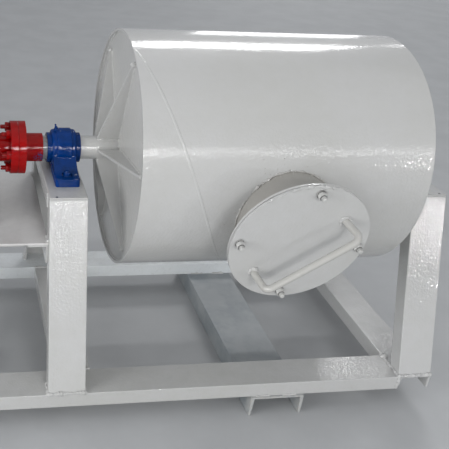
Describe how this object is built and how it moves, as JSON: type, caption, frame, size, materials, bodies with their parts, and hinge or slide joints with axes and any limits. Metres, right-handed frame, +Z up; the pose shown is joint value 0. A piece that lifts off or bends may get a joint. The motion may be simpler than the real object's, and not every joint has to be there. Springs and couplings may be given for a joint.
{
  "type": "ball mill",
  "caption": "Batch ball mill: a horizontal welded drum with a bolted side hatch, on pillow-block bearings and a leaning channel-steel frame, turned through a pin coupling by a geared motor.",
  "frame": {"origin": "on the floor under the drum axis, at the middle of the drum's length, on the left flange of the drum runner", "axes": "+X along the drum axis, away from the drive; +Y away from the hatch; +Z up"},
  "size_m": [2.511, 1.2238, 1.375],
  "materials": {
    "mill_paint": "gloss",
    "bearing_paint": "satin",
    "coupling_paint": "gloss",
    "runner_steel": "matt, dusty",
    "drive_paint": "satin",
    "bare_steel": "turned",
    "stud_steel": "satin"
  },
  "bodies": {
    "frame": {"front_rail": "mill_paint", "back_rail": "mill_paint", "right_end_member": "mill_paint", "left_cross_member": "mill_paint", "drive_end_member": "mill_paint", "drum_runner": "runner_steel", "drive_runner": "runner_steel", "left_front_post": "mill_paint", "left_back_post": "mill_paint", "right_front_post": "mill_paint", "right_back_post": "mill_paint", "drive_front_post": "mill_paint", "drive_back_post": "mill_paint", "left_bearing_beam": "mill_paint", "right_bearing_beam": "mill_paint", "drive_beam": "mill_paint", "drive_platform": "mill_paint", "platform_angle": "mill_paint", "front_bearer": "mill_paint", "back_bearer": "mill_paint", "left_bearing_housing": "bearing_paint", "right_bearing_housing": "bearing_paint", "reducer_housing": "drive_paint", "reducer_foot": "drive_paint", "motor_body": "drive_paint", "motor_fan_cover": "drive_paint", "terminal_box": "drive_paint"},
    "drum": {"drum_shell": "mill_paint", "left_end_plate": "mill_paint", "right_end_plate": "mill_paint", "left_gussets": "mill_paint", "right_gussets": "mill_paint", "left_trunnion": "mill_paint", "right_trunnion": "mill_paint", "left_inner_ring": "bearing_paint", "right_inner_ring": "bearing_paint", "hatch_neck": "mill_paint", "hatch_flange": "mill_paint", "hatch_cover": "mill_paint", "hatch_handle": "mill_paint", "hatch_studs": "stud_steel", "mill_coupling_half": "coupling_paint", "drive_coupling_half": "coupling_paint", "coupling_pins": "coupling_paint", "reducer_shaft": "bare_steel"}
  },
  "joints": [
    {"name": "drum_spin", "type": "hinge", "parent": "frame", "child": "drum", "pos_m": [0, 0, 0.925], "axis": [1, 0, 0], "continuous": true}
  ]
}
